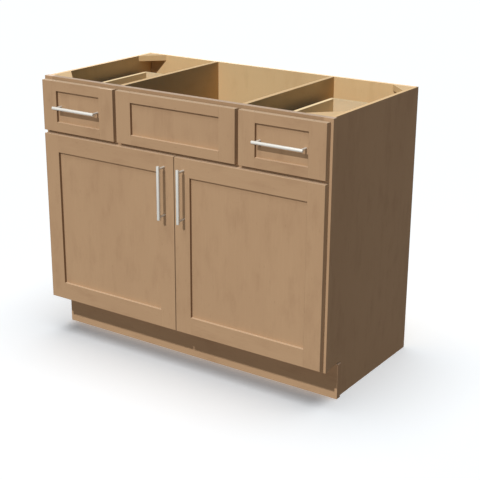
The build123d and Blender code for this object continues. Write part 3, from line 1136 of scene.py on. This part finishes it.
    def nail_seats(self) -> list[Seat]:
        """Give the seats of the nails along the back panel's sides and floor."""
        low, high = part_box("back_panel")
        count = round((high.z - low.z) / self.nail_pitch)
        rise = (high.z - low.z - 2 * self.nail_inset) / count
        columns = (low.x + self.nail_edge, high.x - self.nail_edge)
        seats = [(x, low.z + self.nail_inset + rise * step) for x in columns for step in range(count + 1)]
        floor_low, floor_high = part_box("bottom_panel")
        level = (floor_low.z + floor_high.z) / 2
        across = round((high.x - low.x) / self.nail_pitch)
        run = (high.x - low.x) / across
        seats += [(low.x + run * step, level) for step in range(1, across)]
        return [(Vector((x, high.y, z)), BACK) for x, z in seats]


@dataclass
class Hardware:
    """The metal and rubber CAD nodes: hinges, slides, brackets, screws and bumpers."""

    nodes: dict[str, Piece]
    steel: bpy.types.Material
    zinc: bpy.types.Material
    smooth_angle: float = 32.0

    def dress(self) -> None:
        """Dress the steel and the bumpers, with smooth copies of the round pieces."""
        flat = ["cabinet_slide_members", "slide_rear_brackets", "false_front_brackets"]
        for side in Side:
            word = side.word
            door = f"{word}_door"
            self.smoothed(f"{door}_hinge_cups", f"{door}_cup_hinges", door)
            self.smoothed(f"{door}_hinge_pins", f"{door}_hinge_spindles", door)
            self.smoothed(f"{door}_pull_screws", f"{door}_pull_bolts", door)
            flat += [f"{word}_slide_middle_members", f"{word}_drawer_slide_members"]
        self.smoothed("hinge_arms", "hinge_knuckle_arms", "cabinet")
        for name in flat:
            wear(self.nodes[name], self.zinc)
        wear(self.nodes["frame_bumpers"], BUMPER_RUBBER.material())

    def smoothed(self, node: str, name: str, body: str) -> None:
        """Stand a smooth steel copy in for a round CAD node.

        Args:
            node: The CAD node.
            name: The copy's name.
            body: The body that it moves with.
        """
        copy = Bench.smooth_copy(self.nodes[node], name, self.smooth_angle)
        wear(copy, self.steel)
        report(copy, body, HINGE_STEEL.name, node)


@dataclass(frozen=True)
class FarLamp:
    """A far lamp that lights some pieces alone."""

    name: str
    azimuth: float
    elevation: float
    strength: float
    softness: float

    def towards(self) -> Vector:
        """Give the direction from the object to the lamp."""
        turn, rise = math.radians(self.azimuth), math.radians(self.elevation)
        return Vector((math.sin(turn) * math.cos(rise), -math.cos(turn) * math.cos(rise), math.sin(rise)))

    def data(self) -> bpy.types.Light:
        """Make the lamp's light, which stands as far as the sun."""
        light = bpy.data.lights.new(self.name, "SUN")
        light.energy = self.strength
        light.angle = math.radians(self.softness)
        return light

    def place(self) -> Vector:
        """Give the lamp's place, which makes no difference to a sun."""
        return self.towards()

    def hang(self, pieces: Iterable[Piece]) -> None:
        """Hang the lamp.

        Args:
            pieces: The pieces that it lights.
        """
        lamp = bpy.data.objects.new(self.name, self.data())
        bpy.context.scene.collection.objects.link(lamp)
        lamp.location = self.place()
        lamp.rotation_euler = self.towards().to_track_quat("Z", "Y").to_euler()
        lit = bpy.data.collections.new(f"{self.name}_receivers")
        for piece in pieces:
            lit.objects.link(piece)
        lamp.light_linking.receiver_collection = lit


@dataclass(frozen=True)
class DiscLamp(FarLamp):
    """A lamp that is a far round screen."""

    distance: float = 40.0
    middle_height: float = 0.45

    def data(self) -> bpy.types.Light:
        """Make the screen, with the power that gives its strength at the object."""
        light = bpy.data.lights.new(self.name, "AREA")
        light.shape = "DISK"
        light.size = 2 * self.distance * math.tan(math.radians(self.softness) / 2)
        light.energy = 4 * self.strength * self.distance ** 2
        return light

    def place(self) -> Vector:
        """Give the screen's place."""
        return UP * self.middle_height + self.towards() * self.distance


KEY = FarLamp("key", azimuth=0.5, elevation=47.4, strength=3.02, softness=2.0)
FRONT_KEY = FarLamp("front_key", azimuth=1.0, elevation=37.0, strength=2.08, softness=1.4)
FILL = DiscLamp("fill", azimuth=34.0, elevation=19.0, strength=0.72, softness=2.0)
EDGE_LIGHT = DiscLamp("edge_light", azimuth=0.0, elevation=62.0, strength=0.55, softness=25.0)
TOP_LIGHT = DiscLamp("top_light", azimuth=0.0, elevation=78.0, strength=1.3, softness=6.0)
BACK_FILL = DiscLamp("back_fill", azimuth=215.0, elevation=25.0, strength=1.8, softness=10.0)
FLOOR_LIGHT = FarLamp("floor_light", azimuth=0.0, elevation=90.0, strength=2.4, softness=50.0)


@dataclass
class Studio:
    """The floor, lights, background and camera."""

    floor_half: float = 40.0
    ambient: float = 0.11
    ambient_tone: Colour = (0.62, 0.92, 1.16, 1.0)
    floor_glow: float = 0.2
    glow_tone: Colour = (1.0, 0.74, 0.58, 1.0)
    floor_tone: Colour = (0.96, 0.955, 0.95, 1.0)
    floor_base: float = 0.2
    base_tone: Colour = (0.95, 1.0, 1.04, 1.0)
    front_words: tuple[str, ...] = ("door_", "drawer_front_", "false_front_", "bar_pull")
    filled_words: tuple[str, ...] = (
        "_stile", "middle_rail", "bottom_rail", "toe_kick_board", "right_end_panel",
    )
    topped_words: tuple[str, ...] = ("bar_pull", "_drawer_box_sides")
    back_words: tuple[str, ...] = (
        "back_panel", "left_end_panel", "left_stile", "toe_kick_board", "left_door_hinge_stile",
        "left_drawer_front_stiles",
    )
    camera_place: Vector = Vector((2.01776, -2.86635, 1.56968))
    camera_yaw: float = 34.2519
    camera_pitch: float = -19.1093
    camera_roll: float = 0.3036
    focal_pixels: float = 1133.1
    frame_pixels: float = 480.0
    sensor: float = 36.0
    clip_end: float = 200.0

    @staticmethod
    def seen(shader: Shader) -> Wire:
        """Give one for what the camera, reflections and glass see, and nothing for light on surfaces."""
        path = shader.node("ShaderNodeLightPath", {}, {})
        rays = [Wire(shader, path.outputs[f"Is {name} Ray"]) for name in ("Camera", "Glossy", "Transmission")]
        return rays[0].larger(rays[1]).larger(rays[2])

    def hang_background(self) -> None:
        """Make a white background that lights the object softly."""
        world = bpy.data.worlds.new("studio")
        world.use_nodes = True
        bpy.context.scene.world = world
        shader = Shader(world.node_tree)
        soft = {"Color": self.ambient_tone, "Strength": self.ambient}
        light = shader.wire("ShaderNodeBackground", {}, soft)
        white = shader.wire("ShaderNodeBackground", {}, {"Color": (1, 1, 1, 1), "Strength": 1.0})
        mixed = shader.wire("ShaderNodeMixShader", {}, {0: self.seen(shader), 1: light, 2: white})
        shader.node("ShaderNodeOutputWorld", {}, {"Surface": mixed})

    def lay_floor(self) -> Piece:
        """Lay the pale floor."""
        Bench.clear_selection()
        bpy.ops.mesh.primitive_plane_add(size=2 * self.floor_half)
        floor = bpy.context.object
        floor.name = "floor"
        shader, material = Shader.of_material("pale_floor")
        glow = shader.wire("ShaderNodeEmission", {}, {"Color": self.glow_tone, "Strength": self.floor_glow})
        pale = shader.wire("ShaderNodeBsdfDiffuse", {}, {"Color": self.floor_tone})
        base = shader.wire("ShaderNodeEmission", {}, {"Color": self.base_tone, "Strength": self.floor_base})
        lifted = shader.wire("ShaderNodeAddShader", {}, {0: pale, 1: base})
        mixed = shader.wire("ShaderNodeMixShader", {}, {0: self.seen(shader), 1: glow, 2: lifted})
        shader.node("ShaderNodeOutputMaterial", {}, {"Surface": mixed})
        wear(floor, material)
        return floor

    @staticmethod
    def named(words: tuple[str, ...]) -> list[Piece]:
        """Give the pieces whose names hold one of some words."""
        meshes = [piece for piece in bpy.data.objects if piece.type == "MESH"]
        return [piece for piece in meshes if any(word in piece.name for word in words)]

    def hang_lamps(self, floor: Piece) -> None:
        """Hang the lamps, each on the pieces that it lights.

        Args:
            floor: The floor.
        """
        fronts = self.named(self.front_words)
        KEY.hang([piece for piece in self.named(("",)) if piece != floor and piece not in fronts])
        FRONT_KEY.hang(fronts)
        FILL.hang(self.named(self.front_words + self.filled_words))
        EDGE_LIGHT.hang(fronts)
        TOP_LIGHT.hang(self.named(self.topped_words))
        BACK_FILL.hang(self.named(self.back_words))
        FLOOR_LIGHT.hang([floor])

    def stand_camera(self) -> None:
        """Stand the camera where the photograph was taken from."""
        yaw, pitch, roll = [math.radians(a) for a in (self.camera_yaw, self.camera_pitch, self.camera_roll)]
        forward = Vector((-math.sin(yaw) * math.cos(pitch), math.cos(yaw) * math.cos(pitch), math.sin(pitch)))
        level = forward.cross(UP).normalized()
        upright = level.cross(forward)
        right = level * math.cos(roll) + upright * math.sin(roll)
        top = upright * math.cos(roll) - level * math.sin(roll)
        data = bpy.data.cameras.new("camera")
        data.sensor_width = self.sensor
        data.lens = self.focal_pixels / self.frame_pixels * self.sensor
        data.clip_end = self.clip_end
        camera = bpy.data.objects.new("camera", data)
        bpy.context.scene.collection.objects.link(camera)
        turn = Matrix((right, top, -forward)).transposed().to_4x4()
        camera.matrix_world = Matrix.Translation(self.camera_place) @ turn
        bpy.context.scene.camera = camera

    def build(self) -> None:
        """Set the whole studio up."""
        bpy.context.scene.view_settings.view_transform = "Standard"
        self.hang_background()
        floor = self.lay_floor()
        self.hang_lamps(floor)
        self.stand_camera()


def main() -> None:
    """Build the sub-assemblies in order."""
    logging.basicConfig(level=logging.INFO, format="%(name)s: %(message)s")
    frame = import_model()
    nodes = frame["nodes"]
    boards = Boards(nodes)
    boards.dress_carcass()
    boards.dress_frame()
    boards.dress_fronts()
    boards.dress_drawers()
    steel, zinc = HINGE_STEEL.material(), ZINC_STEEL.material()
    # The upright pulls take the darker copy as painted shade, the level pulls the lighter copy as painted
    # light.
    upright, level = NICKEL_UPRIGHT_PAINTED_SHADE.material(), NICKEL_LEVEL_PAINTED_LIGHT.material()
    Hardware(nodes, steel, zinc).dress()
    for side in Side:
        door, drawer = f"{side.word}_door", f"{side.word}_drawer"
        BarPull(f"{door}_pull", f"{door}_bar_pull", door, upright).dress()
        BarPull(f"{drawer}_pull", f"{drawer}_bar_pull", drawer, level).dress()
    Fasteners(steel, zinc).dress()
    Studio().build()


if __name__ == "__main__":
    main()
